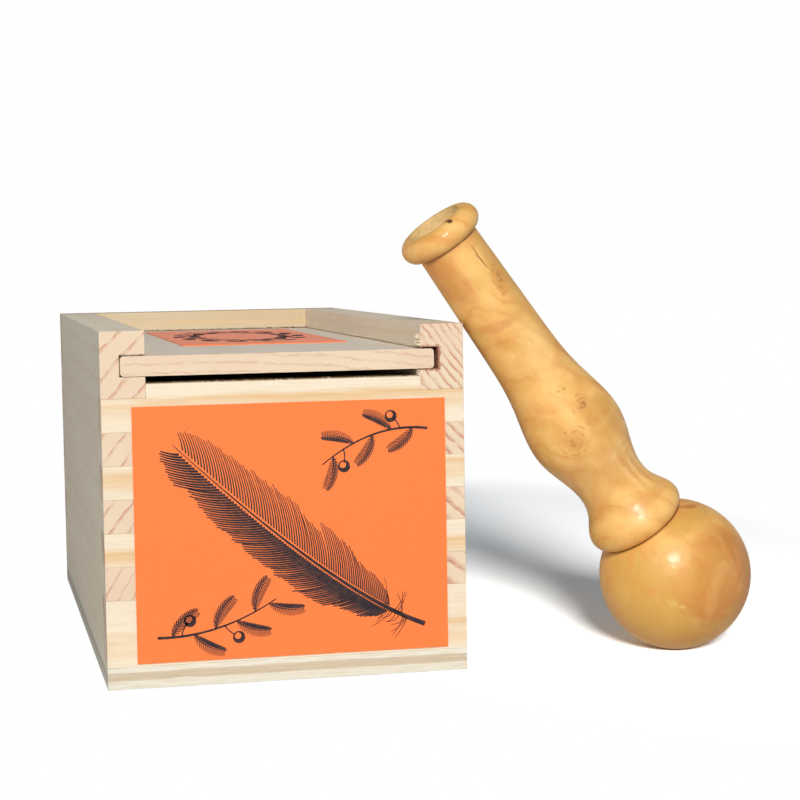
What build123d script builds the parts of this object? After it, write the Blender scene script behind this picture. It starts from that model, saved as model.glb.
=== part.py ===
"""A turned wooden bird call that leans on its own finger-jointed case with a sliding lid.

Millimetres. The origin is the centre of the case's underside, +Z is up and the case's front faces -Y.
"""

from math import cos, hypot, radians, sin, sqrt
import os

from build123d import *

# Case: four glued boards on a three-ply floor
case_width = 66.0
case_length = 132.0
wall_height = 60.0
wall_thickness = 8.0
floor_thickness = 4.0
finger_height = 6.0

# Lid and its grooves
lip_height = 4.2
groove_height = 4.0
left_groove_depth = 4.6
right_groove_depth = 3.3
back_groove_depth = 4.0
lid_thickness = 3.6
lid_edge_radius = 0.6
lid_gap_left = 0.2
lid_gap_right = 0.8
lid_gap_back = 0.5
lid_gap_under = 0.1
lid_slot_height = 1.3

# Paper labels
label_thickness = 0.2
front_label_width = 57.0
front_label_height = 46.0
front_label_above_floor = 0.5
front_label_offset = 0.85
lid_label_width = 32.6
lid_label_length = 78.0
lid_label_set_back = 36.0
lid_label_offset = 2.0

# Turned outline of the call: radii, and heights above the seat where tube and ball meet
ball_radius = 14.5
seat_radius = 7.9
skirt_radius = 9.6
skirt_height = 2.4
cove_radius = 7.6
cove_height = 6.8
waist_radius = 6.7
waist_height = 10.8
bulge_radius = 9.1
bulge_height = 21.6
shoulder_radius = 7.4
shoulder_height = 33.8
neck_radius = 6.5
neck_height = 44.8
collar_radius = 5.95
bead_radius = 8.0
bead_length = 4.6
tube_length = 71.3

# Inside of the call
mouth_radius = 5.4
mouth_depth = 6.0
bore_radius = 4.0
socket_radius = 6.0
socket_depth = 6.8
joint_clearance = 0.05
whistle_space_radius = 4.6
whistle_space_depth = 4.0
outlet_radius = 2.5
outlet_length = 3.0
plate_thickness = 0.3
plate_hole_radius = 1.0
dome_rise = 1.5
dome_clearance = 0.3

# How the call leans: to the left on the case's top edge, and a little forward
lean_angle = 35.5
swing_angle = 4.4
call_set_back = 8.0
rest_clearance = 0.1

# Levels and half sizes that several pieces share
half_width = case_width / 2
half_length = case_length / 2
inner_half_width = half_width - wall_thickness
floor_top = floor_thickness
case_top = floor_top + wall_height
groove_top = case_top - lip_height
groove_bottom = groove_top - groove_height
groove_left = -inner_half_width - left_groove_depth
groove_right = inner_half_width + right_groove_depth
lid_bottom = groove_bottom + lid_gap_under
front_wall_top = groove_bottom - lid_slot_height

# Finger joints: the side walls own a double finger at the top and then every second finger down to the
# double finger at the bottom, which belongs to the front wall. The back corners swap the two sets.
single_fingers = int((wall_height - 4 * finger_height) / (2 * finger_height) + 0.01)
upper_spans = [(case_top - 2 * finger_height, case_top)]
lower_spans = []
for finger in range(single_fingers):
    low = upper_spans[-1][0] - 2 * finger_height
    lower_spans.append((low + finger_height, low + 2 * finger_height))
    upper_spans.append((low, low + finger_height))
lower_spans.append((floor_top, upper_spans[-1][0]))


def cut_fingers(spans, edge, side):
    """Cut one finger socket for each span into a board's sketch, at its left (MIN) or right (MAX) edge."""
    for low, high in spans:
        with Locations((edge, low)):
            Rectangle(wall_thickness, high - low, align=(side, Align.MIN), mode=Mode.SUBTRACT)


os.makedirs("parts", exist_ok=True)

# Floor panel, flush with the outside of the walls
with BuildPart() as floor_panel:
    with BuildSketch():
        Rectangle(case_width, case_length)
    extrude(amount=floor_thickness)
floor_panel.part.label = "floor_panel"
export_step(floor_panel.part, "parts/floor_panel.step")

# Right wall: its front end keeps the upper set of fingers, its back end the lower set
with BuildPart() as right_wall:
    with BuildSketch(Plane.YZ.offset(inner_half_width)):
        with Locations((0, floor_top)):
            Rectangle(case_length, wall_height, align=(Align.CENTER, Align.MIN))
        cut_fingers(lower_spans, -half_length, Align.MIN)
        cut_fingers(upper_spans, half_length, Align.MAX)
    extrude(amount=wall_thickness)
    with BuildSketch(Plane.XZ.offset(half_length)):
        with Locations((inner_half_width, groove_bottom)):
            Rectangle(right_groove_depth, groove_height, align=(Align.MIN, Align.MIN))
    extrude(amount=-case_length, mode=Mode.SUBTRACT)
right_wall.part.label = "right_wall"
export_step(right_wall.part, "parts/right_wall.step")

# Left wall, the mirror image of the right one with a deeper groove
with BuildPart() as left_wall:
    mirror(right_wall.part, about=Plane.YZ)
    with BuildSketch(Plane.XZ.offset(half_length)):
        with Locations((-inner_half_width, groove_bottom)):
            Rectangle(left_groove_depth, groove_height, align=(Align.MAX, Align.MIN))
    extrude(amount=-case_length, mode=Mode.SUBTRACT)
left_wall.part.label = "left_wall"
export_step(left_wall.part, "parts/left_wall.step")

# Front wall: low enough between the side walls to let the lid slide out over it
with BuildPart() as front_wall:
    with BuildSketch(Plane.XZ.offset(half_length)):
        with Locations((0, floor_top)):
            Rectangle(case_width, front_wall_top - floor_top, align=(Align.CENTER, Align.MIN))
        cut_fingers(upper_spans, -half_width, Align.MIN)
        cut_fingers(upper_spans, half_width, Align.MAX)
    extrude(amount=-wall_thickness)
front_wall.part.label = "front_wall"
export_step(front_wall.part, "parts/front_wall.step")

# Back wall: full height, its double finger closing the lid grooves, with a groove for the lid's far end
with BuildPart() as back_wall:
    with BuildSketch(Plane.XZ.offset(-half_length)):
        with Locations((0, floor_top)):
            Rectangle(case_width, wall_height, align=(Align.CENTER, Align.MIN))
        cut_fingers(lower_spans, -half_width, Align.MIN)
        cut_fingers(lower_spans, half_width, Align.MAX)
    extrude(amount=wall_thickness)
    with BuildSketch(Plane.XZ.offset(wall_thickness - half_length)):
        with Locations((groove_left, groove_bottom)):
            Rectangle(groove_right - groove_left, groove_height, align=(Align.MIN, Align.MIN))
    extrude(amount=-back_groove_depth, mode=Mode.SUBTRACT)
back_wall.part.label = "back_wall"
export_step(back_wall.part, "parts/back_wall.step")

# Lid: a thin board with eased long edges, pushed against the left groove
lid_left = groove_left + lid_gap_left
lid_right = groove_right - lid_gap_right
lid_length = case_length - wall_thickness + back_groove_depth - lid_gap_back
with BuildPart() as lid:
    with BuildSketch(Plane.XZ.offset(half_length)):
        with Locations((lid_left, lid_bottom)):
            Rectangle(lid_right - lid_left, lid_thickness, align=(Align.MIN, Align.MIN))
    extrude(amount=-lid_length)
    fillet(lid.edges().filter_by(Axis.Y), radius=lid_edge_radius)
lid.part.label = "lid"
export_step(lid.part, "parts/lid.step")

# Paper label on the front, across the lower finger joints
with BuildPart() as front_label:
    with BuildSketch(Plane.XZ.offset(half_length)):
        with Locations((front_label_offset, floor_top + front_label_above_floor)):
            Rectangle(front_label_width, front_label_height, align=(Align.CENTER, Align.MIN))
    extrude(amount=label_thickness)
front_label.part.label = "front_label"
export_step(front_label.part, "parts/front_label.step")

# Paper label on the lid
with BuildPart() as lid_label:
    with BuildSketch(Plane.XY.offset(lid_bottom + lid_thickness)):
        with Locations((lid_label_offset, lid_label_set_back - half_length)):
            Rectangle(lid_label_width, lid_label_length, align=(Align.CENTER, Align.MIN))
    extrude(amount=label_thickness)
lid_label.part.label = "lid_label"
export_step(lid_label.part, "parts/lid_label.step")

# The call's axis: the ball stands on the floor, and the tube lies against the right wall's top outer edge
axis_x = -sin(radians(lean_angle)) * cos(radians(swing_angle))
axis_y = -sin(radians(swing_angle))
axis_z = cos(radians(lean_angle)) * cos(radians(swing_angle))
edge_distance = (neck_radius + rest_clearance) * hypot(axis_x, axis_z)
ball_x = half_width + (edge_distance - (case_top - ball_radius) * axis_x) / axis_z
ball_centre = Vector(ball_x, call_set_back - half_length, ball_radius)
call_axis = Axis(ball_centre, (axis_x, axis_y, axis_z))
call_plane = Plane(origin=ball_centre, z_dir=call_axis.direction)
profile_plane = Plane(origin=ball_centre, x_dir=call_plane.x_dir, z_dir=-call_plane.y_dir)

# Levels along the axis, from the ball's centre towards the mouth
seat_level = sqrt(ball_radius**2 - seat_radius**2)
rim_level = seat_level + tube_length
bead_level = rim_level - bead_length
socket_level = seat_level + socket_depth
flange_level = socket_level - plate_thickness
tenon_level = flange_level - plate_thickness

# Tube: bead, neck, bulge, waist and skirt in one turning, bored through, widened where the whistle sits and
# socketed for the tenon
with BuildPart() as call_tube:
    with BuildSketch(profile_plane):
        with BuildLine():
            skirt = (skirt_radius, seat_level + skirt_height)
            neck = (neck_radius, seat_level + neck_height)
            collar = (collar_radius, bead_level)
            rim = (collar_radius, rim_level)
            TangentArc(skirt, (seat_radius, seat_level), tangent=(0, -1))
            Spline(
                skirt,
                (cove_radius, seat_level + cove_height),
                (waist_radius, seat_level + waist_height),
                (bulge_radius, seat_level + bulge_height),
                (shoulder_radius, seat_level + shoulder_height),
                neck,
                tangents=((0, 1), (collar_radius - neck_radius, bead_level - seat_level - neck_height)),
            )
            Line(neck, collar)
            ThreePointArc(collar, (bead_radius, (bead_level + rim_level) / 2), rim)
            Polyline(
                rim,
                (mouth_radius, rim_level),
                (bore_radius, rim_level - mouth_depth),
                (bore_radius, socket_level + whistle_space_depth),
                (whistle_space_radius, socket_level + whistle_space_depth),
                (whistle_space_radius, socket_level),
                (socket_radius, socket_level),
                (socket_radius, seat_level),
                (seat_radius, seat_level),
            )
        make_face()
    revolve(axis=call_axis)
call_tube.part.label = "call_tube"
export_step(call_tube.part, "parts/call_tube.step")

# Ball: turned with a flat seat and a tenon, bored through the tenon and drilled out at the far pole, with the
# same widening at the whistle
tenon_radius = socket_radius - joint_clearance
outlet_level = -sqrt(ball_radius**2 - outlet_radius**2)
chamber_level = outlet_level + outlet_length
with BuildPart() as call_ball:
    with BuildSketch(profile_plane):
        with BuildLine():
            ThreePointArc((outlet_radius, outlet_level), (ball_radius, 0), (seat_radius, seat_level))
            Polyline(
                (seat_radius, seat_level),
                (tenon_radius, seat_level),
                (tenon_radius, tenon_level),
                (whistle_space_radius, tenon_level),
                (whistle_space_radius, tenon_level - whistle_space_depth),
                (bore_radius, tenon_level - whistle_space_depth),
                (bore_radius, chamber_level + bore_radius - outlet_radius),
                (outlet_radius, chamber_level),
                (outlet_radius, outlet_level),
            )
        make_face()
    revolve(axis=call_axis)
call_ball.part.label = "call_ball"
export_step(call_ball.part, "parts/call_ball.step")

# Whistle plates: two thin domed discs, flange to flange, held between the socket's floor and the tenon
plate_radius = socket_radius - joint_clearance
dome_radius = whistle_space_radius - dome_clearance
crown_radius = (dome_radius**2 + dome_rise**2) / (2 * dome_rise)
crown_centre = socket_level + dome_rise - crown_radius
inner_crown_radius = crown_radius - plate_thickness


def on_crown(radius, crown):
    """Level of a point of the dome at this distance from the axis."""
    return crown_centre + sqrt(crown**2 - radius**2)


inner_dome_radius = sqrt(inner_crown_radius**2 - (flange_level - crown_centre) ** 2)
middle_radius = (dome_radius + plate_hole_radius) / 2
with BuildPart() as whistle_front_plate:
    with BuildSketch(profile_plane):
        with BuildLine():
            ThreePointArc(
                (dome_radius, socket_level),
                (middle_radius, on_crown(middle_radius, crown_radius)),
                (plate_hole_radius, on_crown(plate_hole_radius, crown_radius)),
            )
            Line(
                (plate_hole_radius, on_crown(plate_hole_radius, crown_radius)),
                (plate_hole_radius, on_crown(plate_hole_radius, inner_crown_radius)),
            )
            ThreePointArc(
                (plate_hole_radius, on_crown(plate_hole_radius, inner_crown_radius)),
                (middle_radius, on_crown(middle_radius, inner_crown_radius)),
                (inner_dome_radius, flange_level),
            )
            Polyline(
                (inner_dome_radius, flange_level),
                (plate_radius, flange_level),
                (plate_radius, socket_level),
                (dome_radius, socket_level),
            )
        make_face()
    revolve(axis=call_axis)
whistle_front_plate.part.label = "whistle_front_plate"
export_step(whistle_front_plate.part, "parts/whistle_front_plate.step")

# The second plate is the first one turned over on the face where the two flanges meet
with BuildPart() as whistle_back_plate:
    mirror(whistle_front_plate.part, about=call_plane.offset(flange_level))
whistle_back_plate.part.label = "whistle_back_plate"
export_step(whistle_back_plate.part, "parts/whistle_back_plate.step")
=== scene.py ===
"""The looks of a turned wooden bird call and its finger-jointed case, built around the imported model.

The frame is the model's own. Sizes are millimetres until they become vertices. The stage's are metres.
"""

import random
from math import cos, pi, radians, sin, sqrt

import bmesh
import bpy
import numpy as np
from mathutils import Matrix, Quaternion, Vector


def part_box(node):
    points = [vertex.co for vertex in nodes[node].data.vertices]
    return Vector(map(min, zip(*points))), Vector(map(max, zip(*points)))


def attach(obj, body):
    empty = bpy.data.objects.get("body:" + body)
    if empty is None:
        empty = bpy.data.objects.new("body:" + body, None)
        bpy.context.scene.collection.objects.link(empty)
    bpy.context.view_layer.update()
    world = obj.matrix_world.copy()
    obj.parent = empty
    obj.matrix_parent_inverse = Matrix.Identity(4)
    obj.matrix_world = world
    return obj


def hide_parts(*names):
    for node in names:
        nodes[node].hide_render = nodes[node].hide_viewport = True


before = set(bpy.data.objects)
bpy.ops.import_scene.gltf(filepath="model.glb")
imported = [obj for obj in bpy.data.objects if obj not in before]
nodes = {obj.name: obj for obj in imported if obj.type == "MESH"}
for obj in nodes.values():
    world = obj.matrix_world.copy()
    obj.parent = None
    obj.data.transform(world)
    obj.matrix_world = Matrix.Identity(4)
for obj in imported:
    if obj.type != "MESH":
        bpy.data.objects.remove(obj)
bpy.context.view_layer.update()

# Floor panel
# A three-ply poplar board, glued flush under the four walls. Its sawn front edge shows two pale plies with
# the middle one darker between them, because there the fibres are cut across.
lower_glue_line = 1.6
upper_glue_line = 3.2
eased_edge = 0.12


def corners_of(name):
    """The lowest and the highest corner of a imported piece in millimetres."""
    return [corner * 1000 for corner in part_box(name)]


def linear(colour):
    """Turn an sRGB hex colour into linear RGBA."""
    channels = [int(colour[start : start + 2], 16) / 255 for start in (1, 3, 5)]
    return [c / 12.92 if c <= 0.04045 else ((c + 0.055) / 1.055) ** 2.4 for c in channels] + [1.0]


def connect(tree, node, inputs):
    """Set a node's sockets to values, or link them to other nodes' outputs."""
    for socket, value in inputs.items():
        if isinstance(value, bpy.types.NodeSocket):
            tree.links.new(value, node.inputs[socket])
        else:
            node.inputs[socket].default_value = value


def add(tree, kind, inputs=None, stops=None, **settings):
    """Add a shader node with its own settings, inputs and ramp colours, and hand back its outputs."""
    node = tree.nodes.new("ShaderNode" + kind)
    for name, value in settings.items():
        setattr(node, name, value)
    connect(tree, node, inputs or {})
    if stops:
        ramp = node.color_ramp.elements
        while len(ramp) < len(stops):
            ramp.new(1.0)
        for element, (position, colour) in zip(ramp, stops):
            element.position = position
            element.color = linear(colour)
    return node.outputs


def new_material(name):
    """A material with its node tree and its surface shader."""
    material = bpy.data.materials.new(name)
    material.use_nodes = True
    return material, material.node_tree, material.node_tree.nodes["Principled BSDF"]


def in_millimetres(tree):
    """The places on a piece's surface in millimetres, as the piece stands at rest."""
    place = add(tree, "TexCoord")["Object"]
    return add(tree, "VectorMath", {0: place, "Scale": 1000}, operation="SCALE")[0]


def streaked(tree, place, lengths, detail):
    """Noise whose streaks are about this long along the three axes, in millimetres."""
    stretch = [1 / length for length in lengths]
    stretched = add(tree, "VectorMath", {0: place, 1: stretch}, operation="MULTIPLY")[0]
    return add(tree, "TexNoise", {"Vector": stretched, "Scale": 1, "Detail": detail})[0]


def ease_edges(node, width):
    """Weld a board's faces together and break its sharp edges, as sanding does."""
    same_place = 0.001
    sharpest_kept = 40
    weld = node.modifiers.new("weld", "WELD")
    weld.merge_threshold = same_place / 1000
    ease = node.modifiers.new("eased_edges", "BEVEL")
    ease.width = width / 1000
    ease.segments = 2
    ease.limit_method = "ANGLE"
    ease.angle_limit = radians(sharpest_kept)
    node.modifiers.new("even_normals", "WEIGHTED_NORMAL")


# Poplar plywood, sanded and raw: matt and pale, with short fibres and a tan core between the outer plies.
# The fibres are drawn much wider than real ones, so that they show.
plywood, tree, shader = new_material("poplar_plywood")
fibre_width = 0.3
fibre_length = 6.0
fibre_depth = 0.1
waver_width = 8.0
waver_depth = 0.5
lower_blur = 0.03
upper_blur = 0.05
floor_panel_top = corners_of("floor_panel")[1].z
in_mm = in_millimetres(tree)
height = add(tree, "SeparateXYZ", {0: in_mm})["Z"]
waver = add(tree, "TexNoise", {"Vector": in_mm, "Scale": 1 / waver_width, "Detail": 2})[0]
wavy_height = add(tree, "Math", {0: waver, 1: waver_depth, 2: height}, operation="MULTIPLY_ADD")[0]
wavy_top = floor_panel_top + waver_depth / 2
level = add(tree, "Math", {0: wavy_height, 1: wavy_top}, operation="DIVIDE")[0]
low = (lower_glue_line + waver_depth / 2) / wavy_top
high = (upper_glue_line + waver_depth / 2) / wavy_top
plies = add(
    tree,
    "ValToRGB",
    {0: level},
    stops=[
        (0.0, "#DBD5C3"),
        (low - lower_blur, "#DBD4C1"),
        (low + lower_blur, "#C6B59A"),
        (high - upper_blur, "#C9B9A0"),
        (high, "#DED9C7"),
    ],
)[0]
fibres = streaked(tree, in_mm, (fibre_length, fibre_width, fibre_width), detail=3)
fibre_tint = add(tree, "ValToRGB", {0: fibres}, stops=[(0.3, "#F1EBE2"), (0.65, "#FFFFFF")])[0]
colour = add(tree, "MixRGB", {0: 1.0, 1: plies, 2: fibre_tint}, blend_type="MULTIPLY")[0]
relief = add(tree, "Bump", {"Height": fibres, "Strength": 0.25, "Distance": fibre_depth / 1000})[0]
roughness = add(tree, "MapRange", {"Value": fibres, "To Min": 0.6, "To Max": 0.75})[0]
connect(tree, shader, {"Base Color": colour, "Roughness": roughness, "Normal": relief})

nodes["floor_panel"].data.materials[0] = plywood
ease_edges(nodes["floor_panel"], eased_edge)

# Case walls
# Four planed pine boards, finger-jointed and glued at the corners. The side walls run front to back, so
# their fingers show end grain on the front, and the front and back walls show theirs on the sides.
log_along_x = {"grain": (1, 0, 0), "turn": (0, radians(-90), 0)}
log_along_y = {"grain": (0, 1, 0), "turn": (radians(90), 0, 0)}
cream = ("#E6D8BE", "#E2D0B5")


def sawn_pine(
    name, grain, turn, pith, ring_width, at_radius, growth, late_share, on_faces, on_ends, tones=cream
):
    """Planed raw pine: matt and cream, with thin darker late-wood lines, pinker where it is cut across.

    grain is the way the log lies, turn stands it upright and pith is its middle across the log in mm.
    Rings are ring_width apart at at_radius from the pith, wider or narrower outwards by the power growth.
    late_share is the late wood's share of a ring, on_faces and on_ends are how much it shows on planed
    faces and cut ends, and tones are the early wood's two colours on the faces.
    """
    material, tree, shader = new_material(name)
    coordinates = add(tree, "TexCoord")
    log = add(
        tree,
        "Mapping",
        {
            "Vector": coordinates["Object"],
            "Rotation": turn,
            "Scale": (1000, 1000, 1000),
            "Location": (-pith[0], -pith[1], 0),
        },
    )[0]

    # How wide the wood's streaks are across the log and how long along it, and how finely they break up.
    # The fibres are drawn much wider than real ones, so that they show.
    streak_sizes = {
        "wave": (9.0, 70.0, 5),
        "ripple": (1.6, 14.0, 3),
        "breaks": (2.4, 30.0, 3),
        "fibres": (0.28, 9.0, 3),
        "tone": (16.0, 80.0, 2),
    }
    streaks = {}
    for streak, (width, length, detail) in streak_sizes.items():
        streaks[streak] = streaked(tree, log, (width, width, length), detail)

    # Growth rings round the pith, wavy along the log and rippled
    wave_depth = 1.2
    ripple_depth = 0.9
    across = add(tree, "VectorMath", {0: log, 1: (1, 1, 0)}, operation="MULTIPLY")[0]
    radius = add(tree, "VectorMath", {0: across}, operation="LENGTH")["Value"]
    for streak, depth in (("wave", wave_depth), ("ripple", ripple_depth)):
        radius = add(tree, "Math", {0: streaks[streak], 1: depth, 2: radius}, operation="MULTIPLY_ADD")[0]
    share = add(tree, "Math", {0: radius, 1: at_radius}, operation="DIVIDE")[0]
    grown = add(tree, "Math", {0: share, 1: growth}, operation="POWER")[0]
    rings_to_here = at_radius / (ring_width * growth)
    count = add(tree, "Math", {0: grown, 1: rings_to_here}, operation="MULTIPLY")[0]
    ring = add(tree, "Math", {0: count}, operation="FRACT")[0]

    # Late wood darkens slowly outwards, ends sharply, and is faint here and there
    dark_from = 1 - late_share * 0.42
    darkest = 1 - late_share * 0.18
    faintest = 0.3
    late_wood = add(
        tree,
        "ValToRGB",
        {0: ring},
        stops=[
            (0.0, "#000000"),
            (1 - late_share, "#000000"),
            (dark_from, "#E0E0E0"),
            (darkest, "#FFFFFF"),
            (1.0, "#000000"),
        ],
    )[0]
    gaps = {"Value": streaks["breaks"], "From Min": 0.38, "From Max": 0.56, "To Min": faintest}
    whole = add(tree, "MapRange", gaps)[0]
    late_wood = add(tree, "Math", {0: late_wood, 1: whole}, operation="MULTIPLY")[0]

    # Face colours, end colours, and which of the two this face shows
    end_tones = ("#DCC7A8", "#DABFA3")
    cuts = []
    for shown, early, late in ((on_faces, tones, "#D9B078"), (on_ends, end_tones, "#BC7F62")):
        line = add(tree, "Math", {0: late_wood, 1: shown}, operation="MULTIPLY")[0]
        ground = add(tree, "ValToRGB", {0: streaks["tone"]}, stops=[(0.35, early[0]), (0.65, early[1])])[0]
        cuts.append(add(tree, "MixRGB", {0: line, 1: ground, 2: linear(late)})[0])
    face, end = cuts
    outward = add(tree, "VectorMath", {0: coordinates["Normal"]}, operation="ABSOLUTE")[0]
    facing = add(tree, "VectorMath", {0: outward, 1: grain}, operation="DOT_PRODUCT")["Value"]
    cut_across = add(tree, "MapRange", {"Value": facing, "From Min": 0.55, "From Max": 0.85})[0]
    wood = add(tree, "MixRGB", {0: cut_across, 1: face, 2: end})[0]

    # Fibres, which show less on the cut ends
    fibre_depth = 0.1
    fibres = streaks["fibres"]
    fibre_tint = add(tree, "ValToRGB", {0: fibres}, stops=[(0.3, "#F8F3EC"), (0.62, "#FFFFFF")])[0]
    fibres_show = add(tree, "MapRange", {"Value": cut_across, "To Min": 1.0, "To Max": 0.3})[0]
    colour = add(tree, "MixRGB", {0: fibres_show, 1: wood, 2: fibre_tint}, blend_type="MULTIPLY")[0]
    roughness = add(tree, "MapRange", {"Value": fibres, "To Min": 0.6, "To Max": 0.8})[0]
    relief = add(tree, "Bump", {"Height": fibres, "Strength": 0.2, "Distance": fibre_depth / 1000})[0]
    connect(tree, shader, {"Base Color": colour, "Roughness": roughness, "Normal": relief})
    return material


wall_pines = {
    "left_wall": sawn_pine(
        "planed_pine_left", **log_along_y, pith=(105, 66), ring_width=3.25, at_radius=182,
        growth=-1.65, late_share=0.24, on_faces=0.3, on_ends=0.8,
    ),
    "right_wall": sawn_pine(
        "planed_pine_right", **log_along_y, pith=(121, -129), ring_width=1.3, at_radius=116,
        growth=-3.1, late_share=0.48, on_faces=0.35, on_ends=1.0,
    ),
    "front_wall": sawn_pine(
        "planed_pine_front", **log_along_x, pith=(70, 20), ring_width=10.8, at_radius=150,
        growth=1.0, late_share=0.38, on_faces=0.85, on_ends=0.95,
    ),
    # The back wall's darker tones are painted shade, like the shade that the lid casts on its inner face.
    "back_wall": sawn_pine(
        "pine_back_painted_shade", **log_along_x, pith=(-160, 30), ring_width=2.6, at_radius=190,
        growth=1.0, late_share=0.38, on_faces=0.5, on_ends=0.95, tones=("#C6B595", "#BFA988"),
    ),
}
for name, pine in wall_pines.items():
    nodes[name].data.materials[0] = pine
    ease_edges(nodes[name], eased_edge)


def strayed(tree, in_mm, width, detail, place, reach):
    """Places shifted up to half of reach by noise of this width, so that an edge drawn there is uneven."""
    noise = add(tree, "TexNoise", {"Vector": in_mm, "Scale": 1 / width, "Detail": detail})["Color"]
    centred = add(tree, "VectorMath", {0: noise, 1: (0.5, 0.5, 0.5)}, operation="SUBTRACT")[0]
    return add(tree, "VectorMath", {0: centred, 1: reach, 2: place}, operation="MULTIPLY_ADD")[0]


# The cutter scorched the right groove's mouth: red-brown inside it and raggedly a little way round
groove_bottom = 55.8
lip_bottom = 59.8
scorched_pine = "#8E4A2C"
scorched_to = 28.7
scorched_back_to = -62.0
scorch_strength = 0.85
side_blur = 0.2
level_blur = 0.5
back_blur = 3.0
ragged_width = 0.5
ragged_depth = 1.3
tree = wall_pines["right_wall"].node_tree
shader = tree.nodes["Principled BSDF"]
planed = shader.inputs["Base Color"].links[0].from_socket
in_mm = in_millimetres(tree)
reach = (ragged_depth, ragged_depth, ragged_depth)
axes = add(tree, "SeparateXYZ", {0: strayed(tree, in_mm, ragged_width, 2, in_mm, reach)})
groove_middle = (groove_bottom + lip_bottom) / 2
half_height = (lip_bottom - groove_bottom) / 2
off_middle = add(tree, "Math", {0: axes["Z"], 1: groove_middle}, operation="SUBTRACT")[0]
off_middle = add(tree, "Math", {0: off_middle}, operation="ABSOLUTE")[0]
scorched = scorch_strength
for place, clear, full in (
    (axes["X"], scorched_to + side_blur, scorched_to - side_blur),
    (off_middle, half_height + level_blur, half_height),
    (axes["Y"], scorched_back_to + back_blur, scorched_back_to),
):
    within = add(tree, "MapRange", {"Value": place, "From Min": clear, "From Max": full})[0]
    scorched = add(tree, "Math", {0: within, 1: scorched}, operation="MULTIPLY")[0]
colour = add(tree, "MixRGB", {0: scorched, 1: planed, 2: linear(scorched_pine)})[0]
connect(tree, shader, {"Base Color": colour})

# Torn fibres
# Splinters of the same pine that the cutters pulled up along the front wall's top edge, at the right wall's
# front end and in the grooves' mouths, and the fringe that hangs from the lips over the lid.
front_face = corners_of("front_wall")[0].y
front_wall_top = corners_of("front_wall")[1].z
lip_inside = corners_of("right_wall")[0].x
back_inside = corners_of("back_wall")[0].y
groove_right = 28.3
groove_left = -29.6
draw = random.Random(4)
fuzz = bmesh.new()


def splinter(foot, reach, width):
    """A three-sided splinter from foot along reach, bent a little and drawn to a point."""
    sides = 3
    most_bend = 0.15
    foot = Vector(foot)
    reach = Vector(reach)
    sideways = reach.orthogonal().normalized()
    sag = sideways * reach.length * draw.uniform(-most_bend, most_bend)
    rings = []
    for share, thickness in ((0.0, 1.0), (0.55, 0.6)):
        middle = foot + reach * share + sag * share
        corners = [Quaternion(reach, corner * 2 * pi / sides) @ sideways for corner in range(sides)]
        rings.append([fuzz.verts.new((middle + c * width / 2 * thickness) / 1000) for c in corners])
    tip = fuzz.verts.new((foot + reach - sag) / 1000)
    fuzz.faces.new(reversed(rings[0]))
    for corner in range(sides):
        after = (corner + 1) % sides
        fuzz.faces.new((rings[0][corner], rings[0][after], rings[1][after], rings[1][corner]))
        fuzz.faces.new((rings[1][corner], rings[1][after], tip))


def fringe(corner, count, feet, reaches, widths):
    """So many splinters by a corner. Feet from it, reaches and widths are each drawn between two ends."""
    for torn in range(count):
        foot = [start + draw.uniform(*ends) for start, *ends in zip(corner, *feet)]
        reach = [draw.uniform(*ends) for ends in zip(*reaches)]
        splinter(foot, reach, draw.uniform(*widths))


def finished_mesh(name, shape):
    """Turn a built shape into a mesh with its faces looking outwards."""
    bmesh.ops.recalc_face_normals(shape, faces=shape.faces)
    mesh = bpy.data.meshes.new(name)
    shape.to_mesh(mesh)
    shape.free()
    return mesh


def put_in_scene(name, data):
    """A new object of this name in the scene, made from a mesh, a light or a camera."""
    new_object = bpy.data.objects.new(name, data)
    bpy.context.scene.collection.objects.link(new_object)
    return new_object


# Along the front wall's top edge
fringe(
    (0, front_face, front_wall_top), 110, feet=((-20, 0.05, -0.05), (24.5, 1.6, -0.05)),
    reaches=((-0.3, -0.12, 0.12), (0.3, 0.12, 0.45)), widths=(0.08, 0.2),
)
# At the right wall's front end, on the lip above the groove and below the groove
fringe(
    (lip_inside, front_face, lip_bottom), 70, feet=((0.1, 0.1, 0.1), (0.1, 1.4, 2.3)),
    reaches=((-1.3, -0.1, -0.15), (-0.5, 0.0, 0.3)), widths=(0.15, 0.4),
)
fringe(
    (lip_inside, front_face, groove_bottom), 24, feet=((0.1, 0.1, -1.3), (0.1, 1, -0.2)),
    reaches=((-0.9, -0.1, -0.1), (-0.3, 0.0, 0.25)), widths=(0.15, 0.35),
)
# In the mouths of the right and the left groove, the last of them under the left lip
groove_height = lip_bottom - groove_bottom
fringe(
    (groove_right, front_face, groove_bottom), 22,
    feet=((0.05, 0.15, 0.3), (0.05, 0.8, groove_height - 0.5)),
    reaches=((-0.45, -0.1, -0.2), (-0.1, 0.0, 0.2)), widths=(0.12, 0.3),
)
fringe(
    (groove_left, front_face, groove_bottom), 40,
    feet=((-0.05, 0.1, 0.2), (-0.05, 0.4, groove_height - 0.2)),
    reaches=((0.1, -0.05, -0.3), (0.2, 0.05, 0.3)), widths=(0.1, 0.2),
)
left_lip_width = -lip_inside - groove_left
fringe(
    (groove_left, front_face, lip_bottom), 40, feet=((0.1, 0.1, 0.05), (left_lip_width, 0.4, 0.05)),
    reaches=((-0.3, -0.05, -0.28), (0.3, 0.05, -0.2)), widths=(0.12, 0.25),
)
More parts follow.
